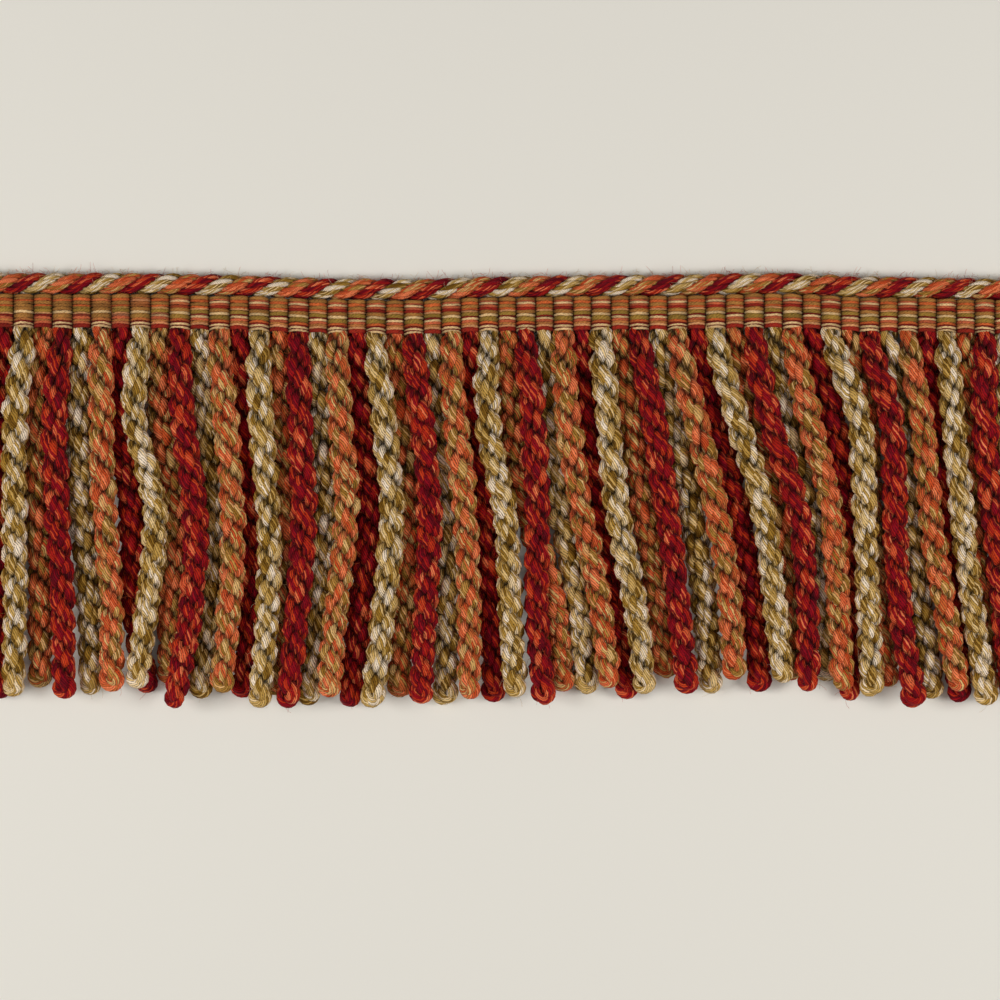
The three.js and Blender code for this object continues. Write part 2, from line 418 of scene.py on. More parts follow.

# %% [markdown]
# What yarn looks like
# A yarn is a few soft threads twisted together, each spun from its own dyed fibre. The material numbers the
# threads from the way round the yarn and the way along it, gives each number a dye from the yarn's palette,
# sinks the lines between them, and darkens them with a painted shade that is lightest at each thread's
# middle. Fine noise drawn out along the threads stands for the fibres.

# %% Yarn material
THREADS, THREAD_LAY = 11, 6.8
WOBBLE, WOBBLE_AROUND, WOBBLE_SCALE = 0.8, 2.0, 0.9
FIBRE_ACROSS, FIBRE_ALONG, FIBRE_SCALE, FIBRE_DETAIL = 1.7, 1.3, 2.6, 5.0
FADE_PER_THREAD, FADE_ALONG = 3.7, 0.13
NEXT_YARN = 11.3
YARN_ROUGHNESS, YARN_SPECULAR = 0.7, 0.1
SHEEN, SHEEN_ROUGHNESS = 0.02, 0.5
THREAD_RELIEF, FIBRE_RELIEF, RELIEF_DEPTH = 0.6, 0.5, 0.2
THREAD_CHANCE, FADING, CREVICE_SHADE = 0.66, 0.4, 0.11
ROUND_LIGHT, FIBRE_LIGHT, LEAST_LIGHT = 1.2, 2.8, 0.38
YARN_BUMP = 0.7
WARP_ROUND_LIGHT, WARP_FIBRE_LIGHT, WARP_LEAST_LIGHT = 0.35, 2.4, 0.74
WARP_FADING = 0.5
WARP_BUMP = 0.9
PALETTES = {
    # the dyes in each yarn, from the darkest to the lightest: place, red, green, blue
    "cream_yarn": (
        (0.0, 120, 82, 16),
        (0.22, 167, 124, 42),
        (0.45, 205, 163, 86),
        (0.7, 237, 201, 138),
        (1.0, 254, 232, 204),
    ),
    "terracotta_yarn": (
        (0.0, 152, 106, 36),
        (0.18, 194, 142, 66),
        (0.36, 238, 192, 124),
        (0.5, 210, 116, 58),
        (0.7, 204, 74, 30),
        (1.0, 250, 134, 84),
    ),
    "red_yarn": (
        (0.0, 104, 0, 18),
        (0.28, 146, 2, 24),
        (0.46, 165, 19, 15),
        (0.64, 204, 60, 22),
        (1.0, 250, 132, 84),
    ),
}


def thread_signals(tree, threads, lay):
    """The thread's number, its roundness, the fibres along it, and how its dye fades along it."""
    tools = Signal(tree)
    uv = tools.node("ShaderNodeUVMap", {"uv_map": "yarn"})
    split = tools.node("ShaderNodeSeparateXYZ", inputs={0: uv})
    around, along = split, Signal(tree, split.socket.node.outputs[1])
    yarn = around.floor()
    uneven = along.vector_with(around * WOBBLE_AROUND, 0.0)
    lying = {"Vector": uneven, "Scale": WOBBLE_SCALE, "Detail": 1.0}
    wobble = tools.node("ShaderNodeTexNoise", inputs=lying)
    phase = (around - yarn) * threads + along * (threads / lay) + (wobble - 0.5) * WOBBLE
    number = phase.floor() % threads + yarn * NEXT_YARN
    roundness = 0.5 - (phase * (2 * math.pi)).cosine() * 0.5
    drawn_out = (phase * FIBRE_ACROSS).vector_with(along * FIBRE_ALONG, yarn)
    spun = {"Vector": drawn_out, "Scale": FIBRE_SCALE, "Detail": FIBRE_DETAIL}
    fibres = tools.node("ShaderNodeTexNoise", inputs=spun)
    slow = (number * FADE_PER_THREAD).vector_with(along * FADE_ALONG, yarn)
    fading = tools.node("ShaderNodeTexNoise", inputs={"Vector": slow, "Scale": 1.0, "Detail": 1.0})
    return number, roundness, fibres, fading


def painted(tree):
    """The paint that each point carries, and its first two numbers."""
    paint = Signal(tree).node("ShaderNodeVertexColor", {"layer_name": "paint"})
    split = paint.node("ShaderNodeSeparateColor", inputs={0: paint})
    return paint, split, Signal(tree, split.socket.node.outputs[1])


def yarn_shader(material, colour, roundness, fibres, strength):
    """Joins the colour and the threads' relief to the material's own shader."""
    tree = material.node_tree
    tools = Signal(tree)
    shader = tree.nodes["Principled BSDF"]
    shader.inputs["Roughness"].default_value = YARN_ROUGHNESS
    shader.inputs["Specular IOR Level"].default_value = YARN_SPECULAR
    shader.inputs["Sheen Weight"].default_value = SHEEN
    shader.inputs["Sheen Roughness"].default_value = SHEEN_ROUGHNESS
    relief = roundness * THREAD_RELIEF + fibres * FIBRE_RELIEF
    raised = {"Strength": strength, "Distance": RELIEF_DEPTH * MM, "Height": relief}
    bump = tools.node("ShaderNodeBump", inputs=raised)
    tree.links.new(colour.socket, shader.inputs["Base Color"])
    tree.links.new(bump.socket, shader.inputs["Normal"])


def shaded(tools, colour, light):
    """The colour made darker or lighter by a grey value."""
    grey = tools.node("ShaderNodeCombineColor", inputs={0: light, 1: light, 2: light})
    settings = {"data_type": "RGBA", "blend_type": "MULTIPLY"}
    return tools.node("ShaderNodeMix", settings, {0: 1.0, 6: colour, 7: grey}, output=2)


def yarn_material(name, stops):
    """For yarns whose mesh says where in the palette each one lies and how open it is, which sets its
    painted crevice shade.
    """
    material = bpy.data.materials.new(name)
    material.use_nodes = True
    tree = material.node_tree
    tools = Signal(tree)
    number, roundness, fibres, fading = thread_signals(tree, THREADS, THREAD_LAY)
    _, tone, shade_openness = painted(tree)
    chance = tools.node("ShaderNodeTexWhiteNoise", {"noise_dimensions": "1D"}, {"W": number})
    place = (tone + (chance - 0.5) * THREAD_CHANCE + (fading - 0.5) * FADING).clipped()
    dyes = [(at, dye(*colour)) for at, *colour in stops]
    colour = tools.node("ShaderNodeValToRGB", {"stops": dyes}, {0: place})
    # Painted shade: each thread lighter in its middle and darker towards its edges.
    thread_light = roundness * ROUND_LIGHT + (fibres - 0.5) * FIBRE_LIGHT + LEAST_LIGHT
    # Painted crevice shade: the yarn darkens where it dips in between the others.
    light = (thread_light * (shade_openness * (1 - CREVICE_SHADE) + CREVICE_SHADE)).clipped()
    yarn_shader(material, shaded(tools, colour, light), roundness, fibres, YARN_BUMP)
    return material


def dyed_material(name, threads, lay):
    """For pieces whose yarns each carry their colour in the mesh, painted shade included."""
    material = bpy.data.materials.new(name)
    material.use_nodes = True
    tree = material.node_tree
    tools = Signal(tree)
    _, roundness, fibres, fading = thread_signals(tree, threads, lay)
    colour, _, _ = painted(tree)
    # Painted shade: each warp thread lighter in its middle and darker towards its edges.
    thread_light = roundness * WARP_ROUND_LIGHT + (fibres - 0.5) * WARP_FIBRE_LIGHT
    light = (thread_light + (fading - 0.5) * WARP_FADING + WARP_LEAST_LIGHT).clipped()
    yarn_shader(material, shaded(tools, colour, light), roundness, fibres, WARP_BUMP)
    return material


YARNS = {name: yarn_material(name, stops) for name, stops in PALETTES.items()}
print("Yarns:", list(YARNS))

# %% [markdown]
# The bullions
# A bullion is a cord of yarns, folded in half and left to wind on itself, so its end is a closed loop and
# its roots are the cord's two ends, held in the heading. Here the cord has four yarns. It is twisted one
# way and the strand the other, which leaves the yarns nearly upright on the face. The strands were placed
# from the photo. A row for each says how far it has swung sideways from its rib at a quarter, a half and
# three quarters of its drop and at its tip, and how far it drops. Every other one lies in the lower layer,
# on the table.

# %% Where each strand lies
STRANDS = np.array([
    # quarter, half, three quarters, tip, drop
    [-0.6, -1.0, -0.9, -1.2, 73.4],
    [-0.8, -1.2, -1.0, -1.4, 73.0],
    [-0.6, -1.0, -1.2, -1.0, 74.2],
    [-1.4, -1.6, -1.5, -1.8, 73.8],
    [-1.3, -1.1, -0.5, -0.7, 72.0],
    [-1.3, -0.8, 0.3, 0.5, 74.0],
    [-0.7, 0.1, 1.5, 1.6, 73.6],
    [0.3, 0.8, 2.2, 2.2, 72.6],
    [-0.2, 2.0, 2.5, 5.5, 73.4],
    [-1.0, 3.0, 1.8, -0.8, 72.0],
    [0.0, 3.0, 2.2, 2.0, 71.0],
    [0.9, 3.3, 2.3, -1.1, 75.8],
    [1.2, 2.5, 2.0, -0.3, 73.8],
    [1.4, 2.8, 2.3, 0.4, 72.7],
    [0.9, 2.2, 2.0, 0.4, 73.6],
    [0.5, 2.0, 1.9, 0.2, 75.4],
    [0.3, 1.3, 0.7, -0.5, 72.8],
    [0.5, 1.1, -0.2, -2.3, 75.3],
    [0.7, 1.4, -0.3, -2.1, 74.6],
    [0.7, 1.9, -0.1, -1.7, 72.7],
    [1.0, 2.5, 0.7, -1.7, 75.0],
    [1.8, 3.2, 1.6, -0.8, 74.7],
    [1.3, 2.5, 1.9, 0.6, 72.9],
    [1.8, 3.2, 2.4, 1.4, 74.0],
    [1.4, 2.8, 2.9, 2.5, 74.4],
    [1.0, 2.8, 3.6, 3.5, 73.3],
    [0.9, 3.2, 4.3, 4.8, 74.1],
    [-0.1, 3.3, 4.3, 5.4, 73.5],
    [1.1, 4.1, 9.3, 11.4, 72.4],
    [1.5, 2.3, 2.2, 3.5, 74.7],
    [1.0, 3.4, 6.9, 8.5, 72.7],
    [0.9, 3.5, 7.1, 9.3, 71.8],
    [1.1, 3.3, 6.3, 9.1, 73.8],
    [1.4, 3.2, 6.6, 8.8, 72.9],
    [2.2, 4.5, 7.4, 9.0, 69.8],
    [2.9, 5.5, 7.7, 9.5, 72.7],
    [3.0, 6.8, 9.3, 10.6, 73.0],
    [3.4, 7.4, 10.2, 11.4, 70.2],
    [3.0, 8.3, 10.9, 13.0, 72.5],
    [4.1, 9.1, 11.5, 13.3, 70.9],
    [3.7, 8.7, 10.8, 11.5, 70.6],
    [2.9, 8.5, 10.5, 10.6, 72.7],
    [2.3, 6.7, 9.6, 11.1, 70.7],
    [3.1, 7.5, 8.9, 10.1, 72.7],
    [4.3, 6.9, 7.4, 7.7, 74.6],
    [5.5, 6.6, 7.2, 8.0, 73.4],
    [3.1, 3.9, 5.5, 7.9, 71.4],
    [4.2, 4.9, 6.0, 9.0, 75.1],
    [2.1, 4.1, 6.5, 9.1, 73.4],
    [2.5, 4.3, 6.9, 10.1, 72.0],
    [1.6, 3.3, 5.4, 6.8, 74.2],
    [1.3, 2.9, 5.1, 7.9, 74.4],
    [0.3, 1.5, 3.2, 4.6, 71.8],
    [-0.3, 1.5, 3.3, 5.3, 74.0],
    [0.2, 1.6, 3.2, 5.0, 73.4],
    [0.4, 1.8, 3.6, 5.0, 72.8],
])
SWINGS, DROPS = STRANDS[:, :4], STRANDS[:, 4]
UPPER = np.arange(RIB_COUNT) % 2 == 1
ROOTS = rib_line(np.arange(RIB_COUNT) + 0.5)
YARN_ORDER = ("cream_yarn", "terracotta_yarn", "red_yarn")
NODE_OF = {
    "cream_yarn": "bullions_cream",
    "terracotta_yarn": "bullions_terracotta",
    "red_yarn": "bullions_red",
}


def swing(share):
    """Each strand's sideways swing at its share of the drop, on a smooth curve through the table."""
    stops = np.concatenate([np.zeros((RIB_COUNT, 1)), SWINGS], axis=1)
    between = (stops[:, 2:] - stops[:, :-2]) / 2
    at_tip = stops[:, -1:] - stops[:, -2:-1]
    slopes = np.concatenate([np.zeros((RIB_COUNT, 1)), between, at_tip], axis=1)
    last = SWINGS.shape[1]
    i = np.clip((share * last).astype(int), 0, last - 1)
    s = share * last - i
    before, after = (np.take_along_axis(stops, k, axis=1) for k in (i, i + 1))
    leaving, arriving = (np.take_along_axis(slopes, k, axis=1) for k in (i, i + 1))
    return (
        before * (2 * s**3 - 3 * s**2 + 1)
        + after * (3 * s**2 - 2 * s**3)
        + leaving * (s**3 - 2 * s**2 + s)
        + arriving * (s**3 - s**2)
    )


print("Strands:", RIB_COUNT, "mean drop, mm:", round(float(DROPS.mean()), 1))

# %% How thick and how high each strand is along its drop
SIZE_DOWN = (-0.6, 1.2, 4, 8, 25, 55, 76)
UPPER_RADIUS = (1.6, 2.2, 2.42, 2.58, 2.6, 2.5, 2.4)
LOWER_RADIUS = (1.55, 2.25, 2.65, 2.85, 2.88, 2.78, 2.4)
RISE_DOWN = (-2, 0.5, 4, 8, 12, 76)
UPPER_MIDDLE = (2.9, 3.1, 4.6, 6.1, 6.5, 6.4)
LOWER_MIDDLE = (2.5, 2.5, 2.6, 2.65, 2.65, 2.4)


def by_layer(down, at, upper, lower):
    """A value at each point down each strand, from its layer's short table."""
    return np.where(UPPER[:, None], np.interp(down, at, upper), np.interp(down, at, lower))


def strand_middles(down):
    """The middle line of every strand at the given depths below the heading."""
    x = ROOTS[:, None] + swing(np.clip(down / DROPS[:, None], 0, 1))
    y = -down - dip_at(ROOTS)[:, None]
    z = by_layer(down, RISE_DOWN, UPPER_MIDDLE, LOWER_MIDDLE)
    return np.stack([x, y, z], axis=-1)


tip_middles = strand_middles(DROPS[:, None])[:, 0]
print("The first strand's middle at its tip, mm:", np.round(tip_middles[0], 1))

# %% [markdown]
# Winding the cord on itself
# The folded cord is one long line: down one side, round the loop, and up the other. At the loop it
# follows a half circle, and elsewhere it is a helix round the strand's middle line. The winding is
# tighter near the tip, as on the real fringe. All the twists wander a little from strand to strand and
# along each one.

# %% Strand geometry
LOOP_STEP, LOOP_POINTS = 0.3, 14
FOLD_POINTS = 123
HIDDEN_ROOT = 1.6
LAY_AT_ROOT = 11.0
LAY_AT_TIP = 8.4
LAY_SPREAD = 0.1
TURN_WANDER = 0.35
TURN_KNOTS = np.linspace(-3, 77, 18)
LOOP_TILT = 0.6
LOOK_AHEAD = 0.5
STRAND_WANDER = {
    # how much each thing wanders, and in how many knots along a strand's cord
    "thickness": (0.05, 26),
    "looseness": (0.42, 44),
    "reach": (0.12, 60),
    "yarn": (0.13, 60),
    "tone": (0.22, 22),
}
CORD_REACH = 0.33
YARN_REACH = 0.36
LOOP_END = 0.58
YARN_SLIM, YARN_PLUMP, PLUMP_POWER = 0.24, 0.43, 2.5
FACE_REACH = 1.08
LOOP_OPENING, OPENING_LENGTH = 0.3, 2.5
YARNS_IN_CORD = 4
TONES = {
    # where the yarns of a cord lie in their palette
    "cream_yarn": (0.84, 0.64, 0.48, 0.26),
    "terracotta_yarn": (0.8, 0.66, 0.36, 0.24),
    "red_yarn": (0.28, 0.36, 0.46, 0.54),
}
YARN_TURN = 1.45
YARN_SIDES = 6
BULLION_SEED = 11


def yarn_paint(tone):
    """The paint of yarns: the place in the palette, and fully open, with no painted crevice shade, until a
    core says otherwise.
    """
    return np.stack([np.clip(tone, 0, 1), 0 * tone + 1, 0 * tone, 0 * tone + 1], axis=-1)


def strand_turn(down, lay_scale):
    """How far the winding has turned at each depth, for a lay that shortens evenly from root to tip."""
    root = LAY_AT_ROOT * lay_scale
    change = (LAY_AT_TIP - LAY_AT_ROOT) * lay_scale / DROPS[:, None]
    return 2 * math.pi / change * np.log((root + change * np.maximum(down, -HIDDEN_ROOT)) / root)


def wander_down(rng, down):
    """A slow wander by depth, which is the same on both sides of each folded cord."""
    count = len(TURN_KNOTS)
    return np.stack([np.interp(row, TURN_KNOTS, rng.uniform(-1, 1, count)) for row in down])


def folded_cords(rng):
    """The line of each folded cord, its strand's middle, radius and face, and how far the strand turned.
    A point's place along a cord is s, in mm from the loop: below 0 on one side and above 0 on the other."""
    radius_at_tip = np.where(UPPER, UPPER_RADIUS[-1], LOWER_RADIUS[-1])[:, None]
    fold = CORD_REACH * radius_at_tip
    straight = DROPS[:, None] + HIDDEN_ROOT - fold
    half_length = straight + fold * math.pi / 2
    in_loop = np.repeat([np.arange(LOOP_POINTS) * LOOP_STEP], RIB_COUNT, axis=0)
    beyond = np.linspace(LOOP_POINTS * LOOP_STEP, half_length[:, 0], FOLD_POINTS - LOOP_POINTS, axis=1)
    side = np.concatenate([in_loop, beyond], axis=1)
    s = np.concatenate([-side[:, ::-1], side[:, 1:]], axis=1)
    from_tip = np.abs(s)
    bend = np.minimum(from_tip / fold, math.pi / 2)
    past = np.maximum(from_tip - fold * math.pi / 2, 0)
    down = DROPS[:, None] - fold - LOOP_END * radius_at_tip - past + fold * np.cos(bend)
    radius = by_layer(down, SIZE_DOWN, UPPER_RADIUS, LOWER_RADIUS)
    radius = radius * (1 + wander(rng, RIB_COUNT, s.shape[1], *STRAND_WANDER["thickness"]))
    # The face sets the painted crevice shade; it is smaller near the loop, so the loop is less shaded.
    face = FACE_REACH * radius * (1 - LOOP_OPENING * np.exp(-((from_tip / OPENING_LENGTH) ** 2)))
    lay_scale = rng.uniform(1 - LAY_SPREAD, 1 + LAY_SPREAD, (RIB_COUNT, 1))
    turned = strand_turn(down, lay_scale) + TURN_WANDER * wander_down(rng, down)
    at_tip = turned[:, FOLD_POINTS - 1 : FOLD_POINTS]
    tilt = rng.uniform(-LOOP_TILT, LOOP_TILT, (RIB_COUNT, 1))
    angle = tilt - (turned - at_tip)
    reach = CORD_REACH * radius * np.sin(bend) * np.sign(s)
    middle = strand_middles(down)
    core = strand_middles(np.minimum(down, DROPS[:, None] - fold - LOOP_END * radius_at_tip))
    ahead = unit(strand_middles(down + LOOK_AHEAD) - middle)
    across = unit(np.cross(ahead, np.array([0.0, 0.0, 1.0])))
    out = np.cross(across, ahead)
    across = -across
    lines = middle + (reach * np.cos(angle))[..., None] * across + (reach * np.sin(angle))[..., None] * out
    return lines, core, radius, face, (turned - at_tip) * np.sign(s)


def add_bullions():
    rng = np.random.default_rng(BULLION_SEED)
    cords, core, radius, face, turned = folded_cords(rng)
    points = cords.shape[1]
    yarns = []
    for k in range(YARNS_IN_CORD):
        start = 2 * math.pi * k / YARNS_IN_CORD
        loose = wander(rng, RIB_COUNT, points, *STRAND_WANDER["looseness"])
        reach = YARN_REACH * radius * (1 + wander(rng, RIB_COUNT, points, *STRAND_WANDER["reach"]))
        yarns.append(wind(cords, reach, start - YARN_TURN * turned + loose))
    lines = np.stack(yarns, axis=1)
    farthest = (CORD_REACH + YARN_REACH) * radius[:, None]
    outward = np.linalg.norm(lines - core[:, None], axis=-1) / farthest
    plump = YARN_SLIM + (YARN_PLUMP - YARN_SLIM) * np.clip(outward, 0, 1) ** PLUMP_POWER
    halves = plump * radius[:, None]
    for i in range(RIB_COUNT):
        yarn = YARN_ORDER[i % 3]
        layer = "upper" if UPPER[i] else "lower"
        half = halves[i] * (1 + wander(rng, YARNS_IN_CORD, points, *STRAND_WANDER["yarn"]))
        tone = rng.permutation(TONES[yarn])[:, None]
        tone = tone + wander(rng, YARNS_IN_CORD, points, *STRAND_WANDER["tone"])
        name = f"bullion_{layer}_{i:02d}"
        # The strand's middle and face set each yarn's painted crevice shade.
        middle = (core[i], face[i])
        piece = tube_object(name, lines[i], half, half, YARN_SIDES, yarn_paint(tone), core=middle)
        piece.data.materials.append(YARNS[yarn])
        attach(piece, "root")
        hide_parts(NODE_OF[yarn])
    print("Bullions:", RIB_COUNT, "faces in the last one:", len(piece.data.polygons))
    return lines, unit(lines - core[:, None])


bullion_lines, bullion_outward = add_bullions()

# %% [markdown]
# The lip cord
# Three plies, one in each colour, are laid up into a rope along the heading's upper edge. Each ply is
# five yarns twisted the other way, so on the face they run nearly along the rope.

# %% Lip cord
LIP_RADIUS = 2.1
LIP_LIFT = 0.3
LIP_LAY = 11.65
LIP_GAP = 0.3
LIP_PHASE = -1.47
LIP_SAG = 0.2
PLY_REACH = 1.06
LIP_YARN_REACH = 0.66
LIP_YARN_RADIUS = 0.54
LIP_FACE_REACH = 2.02
LIP_YARNS = 5
LIP_YARN_SIDES = 6
LIP_YARN_TURN = 1.2
LIP_STEPS = 18
LIP_SEED = 5
LIP_WANDER = {
    # how much each thing wanders, and in how many knots along the fringe
    "looseness": (0.35, 60),
    "reach": (0.12, 90),
    "yarn": (0.08, 90),
    "tone": (0.18, 60),
}
LIP_TONES = {
    # where the yarns of a ply lie in their palette
    "cream_yarn": (0.98, 0.4, 0.85, 0.65, 0.3),
    "terracotta_yarn": (0.9, 0.34, 0.76, 0.3, 0.92),
    "red_yarn": (0.22, 0.62, 0.36, 0.56, 0.28),
}


def add_lip_cord():
    rng = np.random.default_rng(LIP_SEED)
    points = round(LENGTH / LIP_LAY * LIP_STEPS) + 1
    x = np.linspace(-LENGTH / 2, LENGTH / 2, points)
    middle_y = HEADING_HEIGHT + LIP_GAP + LIP_RADIUS - LIP_SAG - dip_at(x)
    middle_z = np.full(points, LIP_LIFT + LIP_RADIUS)
    middle = np.stack([x, middle_y, middle_z], axis=-1)
    made = []
    for ply, yarn in enumerate(YARN_ORDER):
        angle = 2 * math.pi * (x / LIP_LAY - ply / 3) + LIP_PHASE
        offset = np.stack([0 * x, PLY_REACH * np.sin(angle), PLY_REACH * np.cos(angle)], axis=-1)
        ply_line = middle + offset
        yarns = []
        for k in range(LIP_YARNS):
            turn = 2 * math.pi * k / LIP_YARNS + LIP_YARN_TURN * (angle - angle[0])
            turn = turn + wander(rng, 1, points, *LIP_WANDER["looseness"])[0]
            reach = LIP_YARN_REACH * (1 + wander(rng, 1, points, *LIP_WANDER["reach"])[0])
            yarns.append(wind(ply_line[None], reach[None], turn[None])[0])
        lines = np.stack(yarns)
        half = LIP_YARN_RADIUS * (1 + wander(rng, LIP_YARNS, points, *LIP_WANDER["yarn"]))
        # The rope's middle and face set each yarn's painted crevice shade.
        core = (middle, np.full(points, LIP_FACE_REACH))
        tone = np.array(LIP_TONES[yarn])[:, None] + wander(rng, LIP_YARNS, points, *LIP_WANDER["tone"])
        name = f"lip_cord_{yarn}"
        piece = tube_object(name, lines, half, half, LIP_YARN_SIDES, yarn_paint(tone), core=core)
        piece.data.materials.append(YARNS[yarn])
        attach(piece, "root")
        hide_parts("lip_cord")
        print(piece.name, "faces:", len(piece.data.polygons))
        made.append(lines)
    made = np.stack(made)
    return made, unit(made - middle)


lip_lines, lip_outward = add_lip_cord()

# %% [markdown]
# The heading
# The warp runs along the fringe, and the bullions' own yarn crosses it in thick ribs. Each warp yarn goes
# over one rib and under the next, and its neighbour does the opposite, so two sets of rows show by turns.
# The tables give each set's rows from the corded edge down.

# %% Heading rows
OLIVE_BROWN = dye(170, 116, 56)
OLIVE = dye(156, 120, 50)
TAN = dye(194, 122, 64)
ORANGE = dye(208, 100, 48)
SALMON = dye(200, 100, 62)
DARK_RED = dye(134, 34, 22)
RED = dye(156, 42, 26)
PEACH = dye(224, 158, 104)
CREAM = dye(234, 194, 138)
OVER_UPPER = (
    # dye, dye at the left end, thickness beside the others
    (OLIVE_BROWN, OLIVE_BROWN, 0.5),
    (SALMON, OLIVE_BROWN, 0.28),
    (CREAM, ORANGE, 0.36),
    (SALMON, OLIVE_BROWN, 0.42),
    (RED, OLIVE_BROWN, 0.5),
    (OLIVE_BROWN, OLIVE_BROWN, 0.62),
    (CREAM, CREAM, 0.44),
    (OLIVE, OLIVE_BROWN, 0.8),
    (ORANGE, TAN, 0.42),
    (DARK_RED, DARK_RED, 0.28),
    (CREAM, CREAM, 0.38),
    (DARK_RED, DARK_RED, 0.16),
    (CREAM, CREAM, 0.36),
)
OVER_LOWER = (
    (OLIVE_BROWN, OLIVE_BROWN, 0.65),
    (ORANGE, ORANGE, 0.5),
    (OLIVE_BROWN, OLIVE_BROWN, 0.65),
    (ORANGE, ORANGE, 0.36),
    (PEACH, OLIVE, 0.32),
    (OLIVE, OLIVE, 0.72),
    (DARK_RED, PEACH, 0.28),
    (CREAM, DARK_RED, 0.42),
    (SALMON, SALMON, 0.5),
    (TAN, TAN, 0.42),
    (PEACH, SALMON, 0.42),
    (RED, DARK_RED, 0.7),
)
LEFT_END_AT, LEFT_END_SPREAD = -69.0, 9.0
RIB_SHARES = (0.0, 0.06, 0.18, 0.38, 0.62, 0.82, 0.94)
CREST_UPPER = 5.05
CREST_LOWER = 4.5
BACK_Z = 0.3
MIDDLE_Z = 2.9
WARP_TALL = 0.26
BOW, TOP_BOW, LEAST_BOW, BOW_LEVEL = 0.45, 0.5, 0.1, 0.7
CREST_POWER = 0.5
WOVEN_HEIGHT = 6.65
ROW_FULL, ROW_SPREAD = 0.95, 0.3
SUNK, CLEAR = 0.28, 0.8
GROOVE_LIGHT = 0.25
WARP_SIDES = 6
WARP_SEED = 8
WARP_WANDER = {
    # how much each thing wanders, and in how many knots along the fringe
    "row": (0.1, 260),
    "yarn": (0.18, 300),
    "dye": (0.22, 120),
}


def warp_lines(rng, rows, crest, sign):
    """The lines of one set of warp yarns, their half widths, and how far the wave is from its middle."""
    ribs = np.concatenate([rib + np.array(RIB_SHARES) for rib in range(RIB_COUNT)] + [[RIB_COUNT]])
    wave = sign * np.sin(math.pi * ribs)
    lift = np.abs(wave) ** CREST_POWER
    x = rib_line(ribs)
    x[0], x[-1] = -LENGTH / 2, LENGTH / 2
    farthest = np.where(wave > 0, crest, BACK_Z)
    z = MIDDLE_Z + (farthest - MIDDLE_Z) * lift
    weights = np.array([weight for _, _, weight in rows])
    heights = WOVEN_HEIGHT * weights / weights.sum()
    middles = HEADING_HEIGHT - np.cumsum(heights) + heights / 2
    lowness = 1 - middles / HEADING_HEIGHT
    bow = BOW * (lowness**2 + TOP_BOW * (1 - lowness) ** 2 + LEAST_BOW)
    y = middles[:, None] - dip_at(x) + bow[:, None] * (lift - BOW_LEVEL)
    y = y + wander(rng, len(rows), len(x), *WARP_WANDER["row"])
    lines = np.stack([np.broadcast_to(x, y.shape), y, np.broadcast_to(z, y.shape)], axis=-1)
    thick = 1 + wander(rng, len(rows), len(x), *WARP_WANDER["yarn"])
    half = heights[:, None] / 2 * (ROW_FULL + ROW_SPREAD * lift) * thick
    return lines, half, lift


def warp_dye_and_groove_shade(rng, rows, x, lift):
    """Each warp yarn's dye, which changes to another near the left end, with a painted shade where the yarn
    dips into a groove.
    """
    right = np.array([colour for colour, _, _ in rows])[:, None, :]
    left = np.array([colour for _, colour, _ in rows])[:, None, :]
    leftness = 0.5 - 0.5 * np.tanh((x - LEFT_END_AT) / LEFT_END_SPREAD)
    fade = 1 + wander(rng, len(rows), len(x), *WARP_WANDER["dye"])[..., None]
    # Painted shade: the warp yarn is darker where it dips into a groove.
    clear = np.clip((lift - SUNK) / (CLEAR - SUNK), 0, 1)[:, None]
    shade = GROOVE_LIGHT + (1 - GROOVE_LIGHT) * clear
    paint = (right + (left - right) * leftness[:, None]) * fade * shade
    paint[..., 3] = 1
    return np.clip(paint, 0, 1)


def add_heading(material):
    rng = np.random.default_rng(WARP_SEED)
    sets = (("over_upper", OVER_UPPER, CREST_UPPER, -1), ("over_lower", OVER_LOWER, CREST_LOWER, 1))
    for name, rows, crest, sign in sets:
        lines, half, lift = warp_lines(rng, rows, crest, sign)
        tall = np.full(half.shape, WARP_TALL)
        paint = warp_dye_and_groove_shade(rng, rows, lines[0, :, 0], lift)
        name = f"heading_warp_{name}"
        piece = tube_object(name, lines, half, tall, WARP_SIDES, paint, start=(0, 1, 0))
        piece.data.materials.append(material)
        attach(piece, "root")
        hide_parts("heading")
        print(piece.name, "yarns:", len(rows), "faces:", len(piece.data.polygons))


WARP_THREADS, WARP_THREAD_LAY = 4, 3.2
heading_material = dyed_material("heading_yarn", WARP_THREADS, WARP_THREAD_LAY)
add_heading(heading_material)

# %% [markdown]
# The ribs' filling
# Inside each rib the roots of a bullion run up through the heading. They show only in the grooves and at
# the ends. Their colour is a painted shade: the dark brown of the yarn as it looks deep in the grooves, out
# of the light.

# %% Rib filling
# Painted shade: the rib yarn's colour as it looks deep in the grooves, out of the light.
FILLING_SHADE_COLOUR = dye(80, 44, 24)
FILLING_WIDE = 1.6
FILLING_TALL = 1.95
FILLING_MIDDLE = 2.45
FILLING_FROM, FILLING_SHORT = 0.35, 0.15
FILLING_POINTS = 7
FILLING_SIDES = 10


def add_filling(material):
    x = ROOTS
    up = np.linspace(FILLING_FROM, HEADING_HEIGHT - FILLING_SHORT, FILLING_POINTS)
    y = up[None] - dip_at(x)[:, None]
    z = np.full(y.shape, FILLING_MIDDLE)
    lines = np.stack([np.broadcast_to(x[:, None], y.shape), y, z], axis=-1)
    wide = np.full(y.shape, FILLING_WIDE)
    tall = np.full(y.shape, FILLING_TALL)
    paint = np.broadcast_to(np.array(FILLING_SHADE_COLOUR), y.shape + (4,))
    piece = tube_object("heading_filling", lines, wide, tall, FILLING_SIDES, paint, start=(1, 0, 0))
    piece.data.materials.append(material)
    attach(piece, "root")
    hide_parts("heading")
    return piece


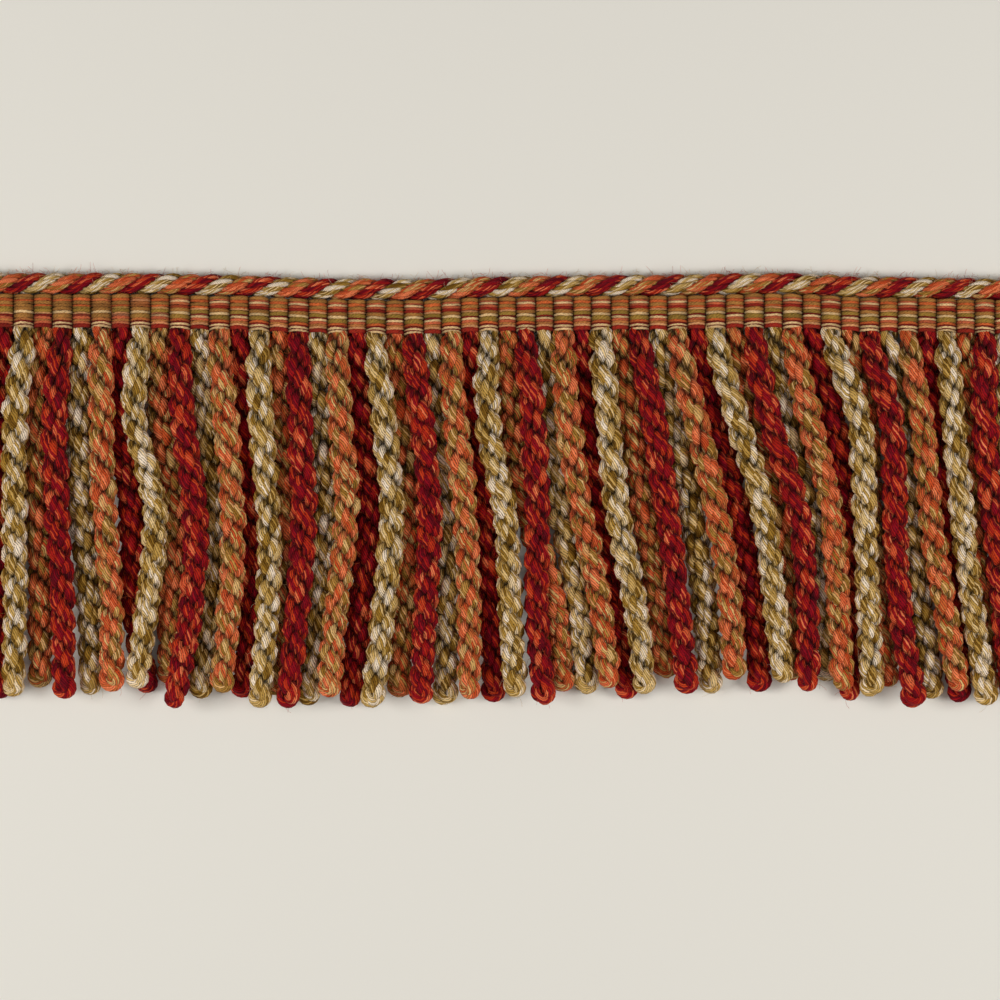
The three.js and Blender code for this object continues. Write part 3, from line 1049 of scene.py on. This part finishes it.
filling = add_filling(heading_material)
print("Rib filling faces:", len(filling.data.polygons))

# %% [markdown]
# Loose fibres
# Spun yarn is never quite smooth: here and there a fibre has worked loose and stands off in a curl. Each
# one starts by a yarn's skin and wanders off, never through the table. More of them stand at the strands'
# tips and along the lip cord's upper edge, as in the photo.

# %% Loose fibres
FIBRE_POINTS = 5
FIBRE_RADIUS = 0.028
SHORTEST_STEP = 0.16
LONGEST_STEP, LONGEST_LIP_STEP = 0.75, 0.6
FIBRE_START = 0.8
LOWEST_START = 1.2
PUSH_OUT, CURL, SHAKE = 0.7, 0.5, 0.25
SCATTER = (0.8, 0.8, 0.5)
MOSTLY_SHORT = 2.5
FIBRE_SIDES = 3
FIBRE_TONES = (0.5, 1)
ASKEW = (0.3, 0.5, 0.8)
FIBRE_SEED = 21
FIBRES_OF_EACH_YARN = 1100
FIBRES_AT_TIPS = 150
TIP_POINTS = 12
LIP_FIBRES, LIP_EDGE_FIBRES = 260, 380
EDGE_FACING = 0.6


def curls(rng, starts, outward, longest):
    """Short curling lines from the given points, that set off more or less outward."""
    count = len(starts)
    ahead = unit(PUSH_OUT * outward + rng.normal(size=(count, 3)) * SCATTER)
    curl = rng.normal(size=(count, 3)) * CURL
    share = rng.uniform(0, 1, (count, 1)) ** MOSTLY_SHORT
    step = SHORTEST_STEP + (longest - SHORTEST_STEP) * share
    points = [starts + FIBRE_START * outward]
    for _ in range(FIBRE_POINTS - 1):
        ahead = unit(ahead + curl + rng.normal(size=(count, 3)) * SHAKE)
        points.append(points[-1] + ahead * step)
    lines = np.stack(points, axis=1)
    lines[..., 2] = np.maximum(lines[..., 2], 2 * FIBRE_RADIUS)
    return lines


def choose(rng, lines, outward, count, facing=-1.0):
    """Some of the points of the lines, and the way out from the strand there. None of them is low down, and
    their way out goes up the trim (+Y) by more than the share that facing gives."""
    lines, outward = lines.reshape(-1, 3), outward.reshape(-1, 3)
    able = np.flatnonzero((lines[:, 2] > LOWEST_START) & (outward[:, 1] > facing))
    chosen = rng.choice(able, count)
    return lines[chosen], outward[chosen]


def add_fibres(name, rng, starts, outward, longest, yarn, node):
    lines = curls(rng, starts, outward, longest)
    half = np.full(lines.shape[:2], FIBRE_RADIUS)
    tone = rng.uniform(*FIBRE_TONES, (len(starts), 1)) + np.zeros(lines.shape[:2])
    piece = tube_object(name, lines, half, half, FIBRE_SIDES, yarn_paint(tone), start=ASKEW)
    piece.data.materials.append(YARNS[yarn])
    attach(piece, "root")
    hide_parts(node)
    print(piece.name, "fibres:", len(starts))


def add_all_fibres():
    rng = np.random.default_rng(FIBRE_SEED)
    tips = slice(FOLD_POINTS - TIP_POINTS, FOLD_POINTS + TIP_POINTS)
    for first, yarn in enumerate(YARN_ORDER):
        lines, outward = bullion_lines[first::3], bullion_outward[first::3]
        along = choose(rng, lines, outward, FIBRES_OF_EACH_YARN)
        at_tips = choose(rng, lines[:, :, tips], outward[:, :, tips], FIBRES_AT_TIPS)
        starts, ways = (np.concatenate(pair) for pair in zip(along, at_tips))
        add_fibres(f"fibres_{yarn}", rng, starts, ways, LONGEST_STEP, yarn, NODE_OF[yarn])
        around = choose(rng, lip_lines[first], lip_outward[first], LIP_FIBRES)
        at_edge = choose(rng, lip_lines[first], lip_outward[first], LIP_EDGE_FIBRES, EDGE_FACING)
        starts, ways = (np.concatenate(pair) for pair in zip(around, at_edge))
        add_fibres(f"lip_fibres_{yarn}", rng, starts, ways, LONGEST_LIP_STEP, yarn, "lip_cord")


add_all_fibres()
